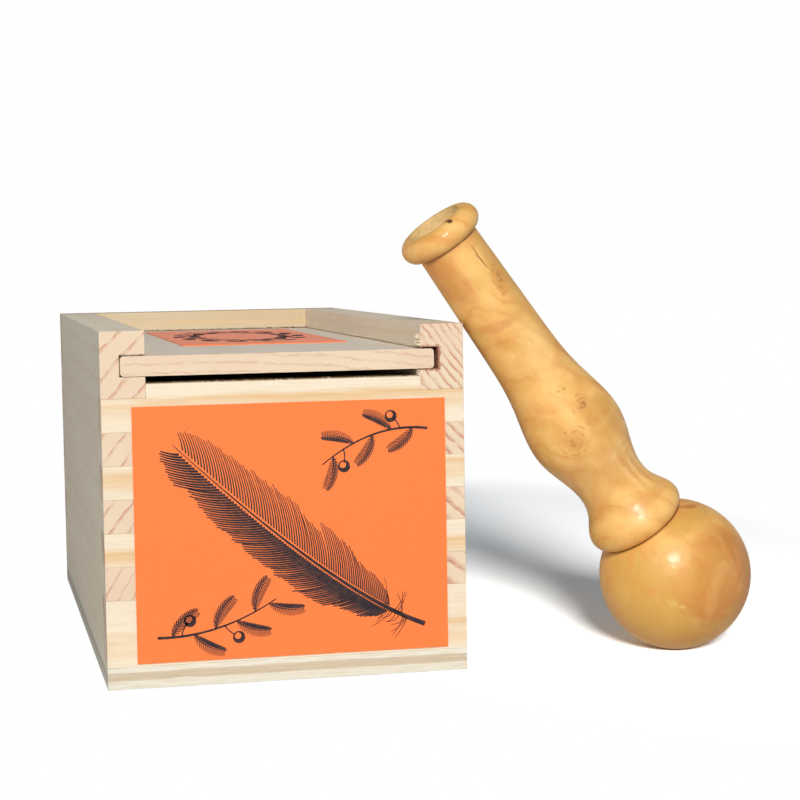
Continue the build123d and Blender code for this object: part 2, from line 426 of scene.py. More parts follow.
# Under the right wall's lip and the back wall's, along the lid
lip_length = back_inside - front_face
fringe(
    (lip_inside, front_face, lip_bottom), 800, feet=((0.02, 0.3, 0.05), (0.2, lip_length, 0.05)),
    reaches=((-0.05, -0.3, -0.28), (0.05, 0.3, -0.2)), widths=(0.12, 0.25),
)
fringe(
    (0, back_inside, lip_bottom), 350, feet=((-lip_inside, 0.02, 0.05), (lip_inside, 0.2, 0.05)),
    reaches=((-0.3, -0.05, -0.28), (0.3, 0.05, -0.2)), widths=(0.12, 0.25),
)
torn_mesh = finished_mesh("torn_fibres", fuzz)

# Raw torn pine: dull and speckled, paler than the planed faces, red-brown where the groove is scorched
torn_pine, tree, shader = new_material("torn_pine")
speckle_width = 0.65
scorched_from = groove_right - 1.0
scorched_fully = groove_right - 0.6
in_mm = in_millimetres(tree)
speckle = add(tree, "TexNoise", {"Vector": in_mm, "Scale": 1 / speckle_width, "Detail": 2})[0]
tint = add(tree, "ValToRGB", {0: speckle}, stops=[(0.35, "#D9C09E"), (0.6, "#E8D8BC")])[0]
across = add(tree, "SeparateXYZ", {0: in_mm})["X"]
in_groove = add(
    tree, "MapRange", {"Value": across, "From Min": scorched_from, "From Max": scorched_fully}
)[0]
colour = add(tree, "MixRGB", {0: in_groove, 1: tint, 2: linear(scorched_pine)})[0]
connect(tree, shader, {"Base Color": colour, "Roughness": 0.8})
torn_mesh.materials.append(torn_pine)
torn_fibres = put_in_scene("torn_fibres", torn_mesh)
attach(torn_fibres, "case")

# Lid
# A thin planed pine board with its long edges rounded over. It slides in the grooves of the side walls,
# out over the front wall, and shows its end grain at the front.
nodes["lid"].data.materials[0] = sawn_pine(
    "planed_pine_lid", **log_along_y, pith=(-20, 250), ring_width=1.7, at_radius=310, growth=1.0,
    late_share=0.38, on_faces=0.12, on_ends=0.4, tones=("#E6DAC6", "#E2D3BD"),
)

# Paper labels
# Two sheets of bright orange paper, matt coated and printed in black, which are cut to size and pasted on
# the front wall and on the lid.
paper_fibre = 0.45
paper_relief = 0.05

# Matt coated paper: an even strong orange without a mirror image, and a breath of sheen at a flat angle.
# Its fibres are drawn much coarser than real ones, so that they show.
orange_paper, tree, shader = new_material("orange_label_paper")
in_mm = in_millimetres(tree)
fibres = add(tree, "TexNoise", {"Vector": in_mm, "Scale": 1 / paper_fibre, "Detail": 4})[0]
tint = add(tree, "ValToRGB", {0: fibres}, stops=[(0.3, "#F0773A"), (0.7, "#F47C3D")])[0]
relief = add(tree, "Bump", {"Height": fibres, "Strength": 0.15, "Distance": paper_relief / 1000})[0]
connect(tree, shader, {"Base Color": tint, "Normal": relief, "Roughness": 0.7})
connect(tree, shader, {"Specular IOR Level": 0.25, "Sheen Weight": 0.12})
for name in ("front_label", "lid_label"):
    nodes[name].data.materials[0] = orange_paper

# Print on the labels
# Black line engravings: a feather between two berried sprigs on the front, and a wreath of leaves on the
# lid. The ink stands a hair above the paper.
label_face = corners_of("front_label")[0].y
lid_label_face = corners_of("lid_label")[1].z
ink_thickness = 0.03
berry_radius = 0.85


def on_front(point, lift):
    """Where a point of the front label's print lies, from its distances right and up."""
    return Vector((point[0], label_face - lift, point[1])) / 1000


def on_lid(point, lift):
    """Where a point of the lid label's print lies, from its distances right and back."""
    return Vector((point[0], point[1], lid_label_face + lift)) / 1000


def ink_stroke(ink, to_sheet, line, widths):
    """One inked stroke: a thin ribbon along a line of points, as wide at each of them as widths says."""
    line = np.array(line)
    along = np.gradient(line, axis=0)
    along /= np.linalg.norm(along, axis=1)[:, None]
    aside = np.column_stack((-along[:, 1], along[:, 0])) * np.array(widths)[:, None] / 2
    rows = []
    for point, side in zip(line, aside):
        left, right = point + side, point - side
        corners = ((left, 0), (right, 0), (right, ink_thickness), (left, ink_thickness))
        rows.append([ink.verts.new(to_sheet(corner, lift)) for corner, lift in corners])
    for near, far in zip(rows, rows[1:]):
        for corner in range(4):
            after = (corner + 1) % 4
            ink.faces.new((near[corner], near[after], far[after], far[corner]))
    ink.faces.new(reversed(rows[0]))
    ink.faces.new(rows[-1])


def bend(start, pull, end, shares):
    """Points at these shares along a curve from start to end that leans towards pull."""
    start, pull, end = (np.array(point, dtype=float) for point in (start, pull, end))
    shares = np.array(shares)[:, None]
    return start * (1 - shares) ** 2 + 2 * pull * shares * (1 - shares) + end * shares**2


def point_on(curve, share):
    """The point at this share of a curve, the way the curve runs there, and the way to its left."""
    small_step = 0.01
    point, ahead = bend(*curve, (share, share + small_step))
    along = (ahead - point) / np.linalg.norm(ahead - point)
    return point, along, np.array((-along[1], along[0]))


def engraved_blade(ink, to_sheet, spine, half_width, stroke_gap, darkness, bare=0.0, ragged=0.0):
    """A leaf or a feather as an engraver cuts it: a spine with slanting strokes on both sides.

    spine is a start, a pull and an end point. The strokes begin after the bare share of the spine, are
    stroke_gap apart and fill the share of that gap that darkness gives for each side. ragged is how much
    their lengths differ, in tufts and one by one.
    """
    spine_points, stroke_points = 40, 6
    last_stroke = 0.985
    tuft_chance = 0.16
    spine_line = bend(*spine, np.linspace(0, 1, spine_points))
    length = np.linalg.norm(np.diff(spine_line, axis=0), axis=1).sum()
    spine_width = 0.25 + 0.011 * length
    ink_stroke(ink, to_sheet, spine_line, np.linspace(spine_width, 0.12, spine_points))
    for side, fill in zip((1, -1), darkness):
        tuft = 0.0
        for share in np.arange(bare, last_stroke, stroke_gap / length):
            if draw.random() < tuft_chance:
                tuft = draw.uniform(-ragged, ragged * 0.3)
            root, along, left = point_on(spine, share)
            across = left * side

            # The blade is widest before its middle, and its strokes lean further over towards the tip
            blade_share = (share - bare) / (1 - bare)
            width = half_width * 1.75 * (blade_share + 0.02) ** 0.45 * (1 - blade_share) ** 0.55
            width *= 1 + tuft + draw.uniform(-ragged, ragged) * 0.25
            sweep = width * (0.75 + 0.9 * blade_share)
            root = root + across * spine_width * 0.55
            middle = root + across * width * 0.55 + along * sweep * 0.35
            tip = root + across * width + along * sweep
            line = bend(root, middle, tip, np.linspace(0, 1, stroke_points))
            root_width = stroke_gap * fill
            ink_stroke(ink, to_sheet, line, np.linspace(root_width, root_width * 0.45, stroke_points))


def berry(ink, to_sheet, middle):
    """A round berry: a ring that is thick on its shaded side."""
    shaded_side = 0.9
    turn = np.linspace(0, 2 * pi, 25)
    ring = np.array(middle) + berry_radius * np.column_stack((np.cos(turn), np.sin(turn)))
    ink_stroke(ink, to_sheet, ring, berry_radius * (0.25 + 0.75 * (1 + np.cos(turn + shaded_side)) / 2))


def sprig(ink, to_sheet, stem, leaf_length, leaf_shares, berry_shares):
    """A stem with leaves on alternate sides and berries on short stalks, at these shares of its length."""
    stem_points, stalk_points = 20, 6
    stalk_width = 0.22
    stroke_gap = 0.42
    half_leaf = leaf_length * 0.16
    stem_line = bend(*stem, np.linspace(0, 1, stem_points))
    ink_stroke(ink, to_sheet, stem_line, np.linspace(0.5, 0.2, stem_points))
    side = 1
    for share in leaf_shares:
        foot, along, left = point_on(stem, share)
        across = left * side
        tip = foot + (along * 0.75 + across * 0.66) * leaf_length
        pull = foot + (along * 0.2 + across * 0.42) * leaf_length
        engraved_blade(ink, to_sheet, (foot, pull, tip), half_leaf, stroke_gap, (0.8, 0.45), bare=0.08)
        side = -side
    for share in berry_shares:
        foot, along, left = point_on(stem, share)
        across = left * side
        middle = foot + (along * 0.25 + across * 0.42) * leaf_length
        stalk = bend(foot, foot + across, middle, np.linspace(0, 0.85, stalk_points))
        ink_stroke(ink, to_sheet, stalk, [stalk_width] * stalk_points)
        berry(ink, to_sheet, middle)
        side = -side


# The feather, with loose wisps of down at its foot
front_ink = bmesh.new()
feather_spine = ((25.0, 9.0), (9.0, 15.0), (-20.5, 43.5))
engraved_blade(front_ink, on_front, feather_spine, 6.6, 0.55, (0.84, 0.5), bare=0.2, ragged=0.22)
wisp_points = 9
for share in np.linspace(0.1, 0.22, 16):
    root, along, left = point_on(feather_spine, share)
    aside = left * draw.choice((-1, 1))
    tip = root + aside * draw.uniform(2.0, 4.6) + along * draw.uniform(-0.6, 2.4)
    pull = root + aside * 1.2 - along * draw.uniform(0, 1.0)
    wisp = bend(root, pull, tip, np.linspace(0, 1, wisp_points))
    ink_stroke(front_ink, on_front, wisp, np.linspace(0.16, 0.08, wisp_points))

# The sprigs below and above it
lower_stem = ((-24.0, 9.0), (-13.0, 8.5), (-2.5, 15.0))
sprig(front_ink, on_front, lower_stem, 6.5, (0.12, 0.3, 0.48, 0.66, 0.82, 0.94), (0.2, 0.56))
upper_stem = ((26.0, 45.0), (16.0, 46.5), (6.5, 39.0))
sprig(front_ink, on_front, upper_stem, 6.0, (0.14, 0.34, 0.52, 0.7, 0.9), (0.26, 0.8))

# The wreath, whose leaves lean outwards and inwards by turns
lid_ink = bmesh.new()
wreath_middle = np.array((2.0, 9.0))
wreath_reach = np.array((11.0, 25.0))
wreath_leaves = 28
leaf_turn = 0.3
leaf_lean = 0.12
for leaf in range(wreath_leaves):
    turn = leaf * 2 * pi / wreath_leaves
    foot = wreath_middle + wreath_reach * (cos(turn), sin(turn))
    ahead = wreath_middle + wreath_reach * (cos(turn + leaf_turn), sin(turn + leaf_turn))
    outward = (foot - wreath_middle) * (leaf_lean if leaf % 2 else -leaf_lean)
    tip = ahead + outward * 1.6
    engraved_blade(lid_ink, on_lid, (foot, foot + outward, tip), 1.2, 0.45, (0.8, 0.5), bare=0.05)

# Printing ink: near black and slightly brown where it lies thin, as dull as the paper
ink_black, tree, shader = new_material("printing_ink")
thin_spot = 1.1
in_mm = in_millimetres(tree)
cover = add(tree, "TexNoise", {"Vector": in_mm, "Scale": 1 / thin_spot, "Detail": 5})[0]
tint = add(tree, "ValToRGB", {0: cover}, stops=[(0.4, "#2B2328"), (0.7, "#4A332E")])[0]
connect(tree, shader, {"Base Color": tint, "Roughness": 0.7, "Specular IOR Level": 0.25})
for name, ink, body in (("front_print", front_ink, "case"), ("lid_print", lid_ink, "lid")):
    print_mesh = finished_mesh(name, ink)
    print_mesh.materials.append(ink_black)
    label_print = put_in_scene(name, print_mesh)
    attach(label_print, body)

# Call tube
# Boxwood, turned on a lathe from mouth bead to skirt in one piece, bored through and varnished outside. Its
# blank was knotty, so the growth bands sweep round three knots, and it has a short crack below the bead and
# a pit at the rim. It leans against the case, tilted by lean to the left and by swing to the front.
ball_radius = 14.5
seat_radius = 7.9
skirt_radius = 9.6
bead_radius = 8.0
collar_radius = 5.95
neck_radius = 6.5
mouth_radius = 5.4
mouth_depth = 6.0
bore_radius = 4.0
socket_radius = 6.0
whistle_space_radius = 4.6
whistle_space_depth = 4.0
lean = radians(35.5)
swing = radians(4.4)
ball_low, ball_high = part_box("call_ball")
ball_centre = Vector((
    ball_high[0] - ball_radius / 1000,
    ball_high[1] - ball_radius / 1000,
    ball_low[2] + ball_radius / 1000,
))
call_axis = Vector((-sin(lean) * cos(swing), -sin(swing), cos(lean) * cos(swing)))
call_right = (Vector((1, 0, 0)) - call_axis * call_axis.x).normalized()
call_frame = Matrix((call_right, call_axis.cross(call_right), call_axis)).transposed().to_4x4()
call_frame.translation = ball_centre

# Levels along the axis, from the ball's centre towards the mouth
seat_level = sqrt(ball_radius**2 - seat_radius**2)
skirt_level = seat_level + 2.4
socket_level = seat_level + 6.8
neck_level = seat_level + 44.8
bead_level = seat_level + 66.7
rim_level = seat_level + 71.3
mouth_floor_level = rim_level - mouth_depth
facets_round = 256


def smooth_through(points, start, end, steps):
    """Points along a cubic spline through the given ones, leaving along start and arriving along end."""
    points = np.array(points)
    reach = np.concatenate(([0], np.cumsum(np.linalg.norm(np.diff(points, axis=0), axis=1))))
    gaps = np.diff(reach)[:, None]
    pull = np.eye(len(points))
    slopes = np.zeros_like(points)
    slopes[0] = np.array(start) / np.linalg.norm(start)
    slopes[-1] = np.array(end) / np.linalg.norm(end)
    for i in range(1, len(points) - 1):
        before, after = gaps[i - 1, 0], gaps[i, 0]
        pull[i, i - 1 : i + 2] = 1 / before, 2 / before + 2 / after, 1 / after
        slopes[i] = 3 * (points[i] - points[i - 1]) / before**2 + 3 * (points[i + 1] - points[i]) / after**2
    slopes = np.linalg.solve(pull, slopes)
    place = np.linspace(0, reach[-1], steps)
    span = np.clip(np.searchsorted(reach, place) - 1, 0, len(gaps) - 1)
    t = ((place - reach[span]) / gaps[span, 0])[:, None]
    return (
        points[span] * (2 * t**3 - 3 * t**2 + 1)
        + slopes[span] * gaps[span] * (t**3 - 2 * t**2 + t)
        + points[span + 1] * (3 * t**2 - 2 * t**3)
        + slopes[span + 1] * gaps[span] * (t**3 - t**2)
    )


def arc(middle, radius, start, end, steps):
    """Points of an outline along a circle, from one angle to another in degrees."""
    turn = np.radians(np.linspace(start, end, steps))
    return np.array(middle) + radius * np.column_stack((np.cos(turn), np.sin(turn)))


def turned(name, outline, dents=()):
    """A closed mesh turned about the call's axis from a closed outline of radii and levels.

    A dent runs between two places, each an angle, a radius and a level, with its half width and its depth.
    All radii are a hair smaller than the outline's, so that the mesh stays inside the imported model.
    """
    hair = 0.02
    sharpest_smooth = 38
    turn = np.arange(facets_round) * 2 * pi / facets_round
    rings = len(outline)
    points = np.zeros((rings, facets_round, 3))
    points[:, :, 0] = (outline[:, 0, None] - hair) * np.cos(turn)
    points[:, :, 1] = (outline[:, 0, None] - hair) * np.sin(turn)
    points[:, :, 2] = outline[:, 1, None]
    for start, end, half_width, depth in dents:
        foot, head = (
            np.array((radius * cos(radians(angle)), radius * sin(radians(angle)), level))
            for angle, radius, level in (start, end)
        )
        share = ((points - foot) @ (head - foot)) / ((head - foot) @ (head - foot))
        nearest = foot + np.clip(share, 0, 1)[:, :, None] * (head - foot)
        closeness = np.clip(1 - np.linalg.norm(points - nearest, axis=2) / half_width, 0, 1)
        points[:, :, :2] *= (1 - closeness * depth / foot[:2].dot(foot[:2]) ** 0.5)[:, :, None]
    faces = []
    for ring in range(rings):
        here, there = ring * facets_round, (ring + 1) % rings * facets_round
        for step in range(facets_round):
            after = (step + 1) % facets_round
            faces.append((here + step, here + after, there + after, there + step))
    mesh = bpy.data.meshes.new(name)
    mesh.from_pydata((points.reshape(-1, 3) / 1000).tolist(), [], faces)
    mesh.transform(call_frame)
    mesh.shade_smooth()
    mesh.set_sharp_from_angle(angle=radians(sharpest_smooth))
    return mesh


# The outline: skirt, waist, bulge and neck as one curve, then the straight neck and the bead
skirt_drop = np.array((seat_radius - skirt_radius, seat_level - skirt_level))
skirt_arc_radius = (skirt_drop @ skirt_drop) / (2 * -skirt_drop[0])
skirt_middle = (skirt_radius - skirt_arc_radius, skirt_level)
skirt_end = np.degrees(np.arctan2(skirt_drop[1], skirt_drop[0] + skirt_arc_radius))
bead_half = (rim_level - bead_level) / 2
bead_rise = bead_radius - collar_radius
bead_arc_radius = (bead_half**2 + bead_rise**2) / (2 * bead_rise)
bead_middle = (bead_radius - bead_arc_radius, bead_level + bead_half)
bead_angle = np.degrees(np.arcsin(bead_half / bead_arc_radius))
neck_slope = (collar_radius - neck_radius, bead_level - neck_level)
outside = np.vstack((
    arc(skirt_middle, skirt_arc_radius, skirt_end, 0, steps=12)[:-1],
    smooth_through(
        [
            (skirt_radius, skirt_level),
            (7.6, seat_level + 6.8),
            (6.7, seat_level + 10.8),
            (9.1, seat_level + 21.6),
            (7.4, seat_level + 33.8),
            (neck_radius, neck_level),
        ],
        start=(0, 1),
        end=neck_slope,
        steps=110,
    ),
    np.linspace((neck_radius, neck_level), (collar_radius, bead_level), 80)[1:],
    arc(bead_middle, bead_arc_radius, -bead_angle, bead_angle, steps=30)[1:],
    [(mouth_radius, rim_level)],
))
whistle_space_level = socket_level + whistle_space_depth
tube_outline = np.vstack((
    outside,
    np.linspace((mouth_radius, rim_level), (bore_radius, mouth_floor_level), 9)[1:],
    np.linspace((bore_radius, mouth_floor_level), (bore_radius, whistle_space_level), 10)[1:],
    [
        (whistle_space_radius, whistle_space_level),
        (whistle_space_radius, socket_level),
        (socket_radius, socket_level),
        (socket_radius, seat_level),
    ],
))

# How the edges of patches, rings and dark corners fade
soft = {"interpolation_type": "SMOOTHSTEP"}


def distance_on_skin(tree, skin, skin_radius, angle, level, half_width, half_length, tilt):
    """How far the skin's points lie from the middle of one of its features, which reaches to 1."""
    from_middle = add(
        tree,
        "Mapping",
        {
            "Vector": skin,
            "Location": (radians(angle) * skin_radius, level, 0),
            "Rotation": (0, 0, radians(tilt)),
            "Scale": (half_width, half_length, 1),
        },
        vector_type="TEXTURE",
    )[0]
    return add(tree, "VectorMath", {0: from_middle}, operation="LENGTH")["Value"]


def soft_line(tree, place, middle, half_line, core, weight):
    """How dark a line is at a place: weight in its core, and nothing from half_line off its middle."""
    off = add(tree, "Math", {0: place, 1: middle}, operation="SUBTRACT")[0]
    off = add(tree, "Math", {0: off}, operation="ABSOLUTE")[0]
    edge = {"Value": off, "From Min": half_line, "From Max": core, "To Max": weight}
    return add(tree, "MapRange", edge, **soft)[0]


def varnished_boxwood(name, skin_radius, band_lean, band_width, patches, knots, seams):
    """Boxwood under gloss varnish: golden, clouded with orange and paler wood, with small sharp highlights.

    The growth bands are band_width apart, slope as band_lean says and sweep round the knots. patches and
    knots lie at an angle round the axis and a level along it, with half a width, half a length and a tilt.
    seams are levels where a darker line of painted shade runs round a corner, with half a line's width.
    """
    material, tree, shader = new_material(name)
    in_mm = add(
        tree,
        "Mapping",
        {
            "Vector": add(tree, "TexCoord")["Object"],
            "Location": ball_centre,
            "Rotation": call_frame.to_euler(),
            "Scale": (0.001, 0.001, 0.001),
        },
        vector_type="TEXTURE",
    )[0]

    # The skin unrolled round the axis, its points straying a little so that no feature has an even edge
    stray_width, stray_depth = 3.0, 2.2
    axes = add(tree, "SeparateXYZ", {0: in_mm})
    angle = add(tree, "Math", {0: axes["Y"], 1: axes["X"]}, operation="ARCTAN2")[0]
    around = add(tree, "Math", {0: angle, 1: skin_radius}, operation="MULTIPLY")[0]
    skin = add(tree, "CombineXYZ", {0: around, 1: axes["Z"]})[0]
    skin = strayed(tree, in_mm, stray_width, 3, skin, (stray_depth, stray_depth, 0))

    # Sloping growth bands, pushed aside by the knots
    swell_width, swell_length, swell_depth = 9, 22, 13.0
    knot_push = 9.0
    slope = add(tree, "VectorMath", {0: in_mm, 1: band_lean}, operation="DOT_PRODUCT")["Value"]
    swell = streaked(tree, in_mm, (swell_width, swell_width, swell_length), detail=2)
    flow = add(tree, "Math", {0: swell, 1: swell_depth, 2: slope}, operation="MULTIPLY_ADD")[0]
    knot_distances = [distance_on_skin(tree, skin, skin_radius, *knot) for knot in knots]
    for distance in knot_distances:
        near = add(tree, "MapRange", {"Value": distance, "From Min": 2.6, "From Max": 0.3}, **soft)[0]
        flow = add(tree, "Math", {0: near, 1: knot_push, 2: flow}, operation="MULTIPLY_ADD")[0]
    band_count = add(tree, "Math", {0: flow, 1: band_width}, operation="DIVIDE")[0]
    band = add(tree, "Math", {0: band_count}, operation="FRACT")[0]
    colour = add(
        tree,
        "ValToRGB",
        {0: band},
        stops=[
            (0.0, "#E8B364"),
            (0.25, "#EDBB6C"),
            (0.5, "#EAB465"),
            (0.66, "#E3A859"),
            (0.74, "#DFA154"),
            (0.82, "#E6AE60"),
            (1.0, "#E8B364"),
        ],
    )[0]

    # Clouds of paler and darker wood, then single patches, then a mottle of three colours
    cloud_width = 7.0
    mottle_width = 5.5
    clouds = add(tree, "TexNoise", {"Vector": in_mm, "Scale": 1 / cloud_width, "Detail": 3})[0]
    cloud_tint = add(
        tree, "ValToRGB", {0: clouds}, stops=[(0.3, "#EFDDBF"), (0.5, "#FFFFFF"), (0.7, "#FFF6E6")]
    )[0]
    colour = add(tree, "MixRGB", {0: 1.0, 1: colour, 2: cloud_tint}, blend_type="MULTIPLY")[0]
    for *place, tint, strength, softness in patches:
        distance = distance_on_skin(tree, skin, skin_radius, *place)
        edge = {"Value": distance, "From Min": 1 + softness, "From Max": 1 - softness, "To Max": strength}
        cover = add(tree, "MapRange", edge, **soft)[0]
        colour = add(tree, "MixRGB", {0: cover, 1: colour, 2: linear(tint)})[0]
    mottle = add(
        tree, "TexNoise", {"Vector": in_mm, "Scale": 1 / mottle_width, "Detail": 3, "Distortion": 0.8}
    )["Color"]
    mottles = add(tree, "SeparateColor", {0: mottle})
    mottle_tints = {"Red": ("#CFA044", 0.4), "Green": ("#DD9146", 0.4), "Blue": ("#F2C478", 0.2)}
    for channel, (tint, strength) in mottle_tints.items():
        edge = {"Value": mottles[channel], "From Min": 0.5, "From Max": 0.68, "To Max": strength}
        cover = add(tree, "MapRange", edge)[0]
        colour = add(tree, "MixRGB", {0: cover, 1: colour, 2: linear(tint)})[0]

    # Knots: darker towards the eye, inside thin broken rings
    break_width = 1.4
    breaks = add(tree, "TexNoise", {"Vector": in_mm, "Scale": 1 / break_width, "Detail": 1})[0]
    shown = add(tree, "MapRange", {"Value": breaks, "From Min": 0.46, "From Max": 0.6})[0]
    for distance in knot_distances:
        edge = {"Value": distance, "From Min": 1.2, "From Max": 0.1, "To Max": 0.55}
        inside = add(tree, "MapRange", edge, **soft)[0]
        colour = add(tree, "MixRGB", {0: inside, 1: colour, 2: linear("#CC8A42")})[0]
        for radius, half_line, weight in ((1.0, 0.1, 0.55), (0.6, 0.12, 0.4), (0.22, 0.2, 0.8)):
            line = soft_line(tree, distance, radius, half_line, core=0.0, weight=weight)
            broken = add(tree, "Math", {0: line, 1: shown}, operation="MULTIPLY")[0]
            colour = add(tree, "MixRGB", {0: broken, 1: colour, 2: linear("#A2682F")})[0]

    # Dark corners: a line of painted shade at each seam
    for level, half_line in seams:
        seam_shade = soft_line(tree, axes["Z"], level, half_line, core=half_line * 0.2, weight=0.6)
        colour = add(tree, "MixRGB", {0: seam_shade, 1: colour, 2: linear("#9A642C")})[0]

    # Fine fibres along the axis, drawn much wider than real ones so that they show
    fibre_width, fibre_length = 0.4, 7.0
    fibres = streaked(tree, in_mm, (fibre_width, fibre_width, fibre_length), detail=3)
    fibre_tint = add(tree, "ValToRGB", {0: fibres}, stops=[(0.32, "#FCF9F5"), (0.6, "#FFFFFF")])[0]
    colour = add(tree, "MixRGB", {0: 1.0, 1: colour, 2: fibre_tint}, blend_type="MULTIPLY")[0]
    roughness = add(tree, "MapRange", {"Value": fibres, "To Min": 0.46, "To Max": 0.56})[0]

    # The varnish, with the marks that the brush left in it
    brush_mark = 0.6
    brush_depth = 0.5
    brushing = add(tree, "TexNoise", {"Vector": in_mm, "Scale": 1 / brush_mark, "Detail": 1})[0]
    gloss_relief = add(
        tree, "Bump", {"Height": brushing, "Strength": 0.15, "Distance": brush_depth / 1000}
    )[0]
    connect(tree, shader, {"Base Color": colour, "Roughness": roughness, "Coat Normal": gloss_relief})
    connect(tree, shader, {"Coat Weight": 0.17, "Coat Roughness": 0.03, "Coat IOR": 1.5})
    return material


# Patches: angle, level, half width, half length, tilt, colour, strength, softness
orange_wood = "#D08A45"
pale_wood = "#F1BE6F"
palest_wood = "#F3C57C"
olive_wood_and_shade = "#D5A557"
stain = "#7A4A20"
tube_patches = [
    (-140, 75.0, 3.9, 6.5, 0, orange_wood, 0.9, 0.4),
    (-120, 71.5, 3.0, 2.6, 15, orange_wood, 0.65, 0.5),
    (-84, 73.5, 2.6, 6.5, 0, pale_wood, 0.7, 0.5),
    (-55, 68.6, 1.8, 2.9, -20, "#DB9844", 0.65, 0.3),
    # The olive strip down the neck's right side is partly the wood's own tone and partly painted shade on
    # the side away from the lamp.
    (-40, 68.0, 2.4, 12.0, 0, olive_wood_and_shade, 0.6, 0.4),
    (-108, 62.3, 5.5, 0.9, -8, orange_wood, 0.75, 0.6),
    (-95, 54.0, 5.0, 1.5, -10, orange_wood, 0.3, 0.6),
    (-95, 45.0, 4.0, 5.0, 0, pale_wood, 0.6, 0.5),
    (-75, 54.0, 3.0, 7.0, 0, palest_wood, 0.6, 0.6),
    (-84, 31.0, 4.0, 5.0, 0, palest_wood, 0.5, 0.6),
    (-58, 36.8, 3.6, 4.2, 0, "#D09D4C", 0.8, 0.28),
    (-72, 33.0, 4.5, 2.2, 0, "#D99B48", 0.5, 0.5),
    (-88, 22.5, 3.5, 1.4, -12, pale_wood, 0.6, 0.6),
    (-70, 25.5, 0.6, 5.0, 10, palest_wood, 0.7, 0.8),
    (-62, 25.0, 0.5, 5.0, 10, orange_wood, 0.45, 0.8),
    (-53, 24.5, 0.6, 4.5, 12, palest_wood, 0.6, 0.8),
    (-44, 24.0, 0.6, 4.5, 12, orange_wood, 0.45, 0.8),
    (-62, 18.4, 4.5, 1.0, -10, orange_wood, 0.6, 0.6),
    (-108, 15.6, 3.5, 1.2, 0, pale_wood, 0.5, 0.6),
    (-73.4, 37.7, 1.3, 1.1, 0, orange_wood, 0.6, 0.4),
    (-50, 35.7, 1.3, 2.6, 20, "#CB9040", 0.7, 0.4),
    (-84.6, 45.7, 0.25, 0.2, 0, stain, 0.6, 0.5),
    (-77.1, 45.6, 0.25, 0.2, 0, stain, 0.7, 0.5),
    (-62.7, 74.2, 0.14, 2.9, 7, stain, 0.8, 0.5),
    (-76, rim_level, 0.5, 0.45, 0, "#4A2A14", 0.95, 0.35),
]
# Knots: angle, level, half width, half length, tilt
tube_knots = [
    (-56, 69.0, 2.0, 3.0, -20),
    (-74, 41.2, 1.8, 2.1, 0),
    (-107, 36.6, 2.4, 2.6, 0),
]
crack = ((-59.6, 6.15, 76.96), (-65.9, 6.2, 71.5), 0.3, 0.2)
pit = ((-76, 5.95, rim_level), (-76, 5.7, rim_level), 0.5, 0.25)
tube_mesh = turned("turned_tube", tube_outline, (crack, pit))
tube_mesh.materials.append(
    varnished_boxwood(
        "varnished_boxwood_tube", skin_radius=7.5, band_lean=(1.42, 1.19, 1.0), band_width=8.0,
        patches=tube_patches, knots=tube_knots, seams=[(seat_level, 0.5), (bead_level, 0.45)],
    )
)

# Raw boxwood inside the tube: matt and duller than under varnish, with the rings that the tool left.
# Pores and rings are drawn coarser than real ones, so that they show.
raw_boxwood, tree, shader = new_material("raw_boxwood")
pore_width = 0.8
tool_pitch = 0.7
tool_depth = 0.05
in_mm = in_millimetres(tree)
speckle = add(tree, "TexNoise", {"Vector": in_mm, "Scale": 1 / pore_width, "Detail": 3})[0]
tint = add(tree, "ValToRGB", {0: speckle}, stops=[(0.35, "#CDA768"), (0.65, "#D8B67B")])[0]
along = add(tree, "VectorMath", {0: in_mm, 1: tuple(call_axis)}, operation="DOT_PRODUCT")["Value"]
tool_rings = add(tree, "Math", {0: along, 1: 2 * pi / tool_pitch}, operation="MULTIPLY")[0]
tool_rings = add(tree, "Math", {0: tool_rings}, operation="SINE")[0]
relief = add(tree, "Bump", {"Height": tool_rings, "Strength": 0.2, "Distance": tool_depth / 1000})[0]
connect(tree, shader, {"Base Color": tint, "Normal": relief, "Roughness": 0.7})
tube_mesh.materials.append(raw_boxwood)
for polygon in tube_mesh.polygons[(len(outside) - 1) * facets_round :]:
    polygon.material_index = 1

turned_tube = put_in_scene("turned_tube", tube_mesh)
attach(turned_tube, "call")
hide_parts("call_tube")

# Whistle plates
# Two domed discs stamped from tinplate, each with a hole in its middle. They are laid flange to flange in
# the skirt's socket and held there by the ball's tenon.
spangle_width = 1.25

# Tinplate, rolled bright: a grey metal with blurred reflections, clouded by the crystals of the tin
tinplate, tree, shader = new_material("tinplate")
in_mm = in_millimetres(tree)
spangle = add(tree, "TexNoise", {"Vector": in_mm, "Scale": 1 / spangle_width, "Detail": 3})[0]
tint = add(tree, "ValToRGB", {0: spangle}, stops=[(0.35, "#C9C9C6"), (0.65, "#DEDEDA")])[0]
roughness = add(tree, "MapRange", {"Value": spangle, "To Min": 0.25, "To Max": 0.42})[0]
connect(tree, shader, {"Base Color": tint, "Roughness": roughness, "Metallic": 1.0})
for name in ("whistle_front_plate", "whistle_back_plate"):
    nodes[name].data.materials[0] = tinplate

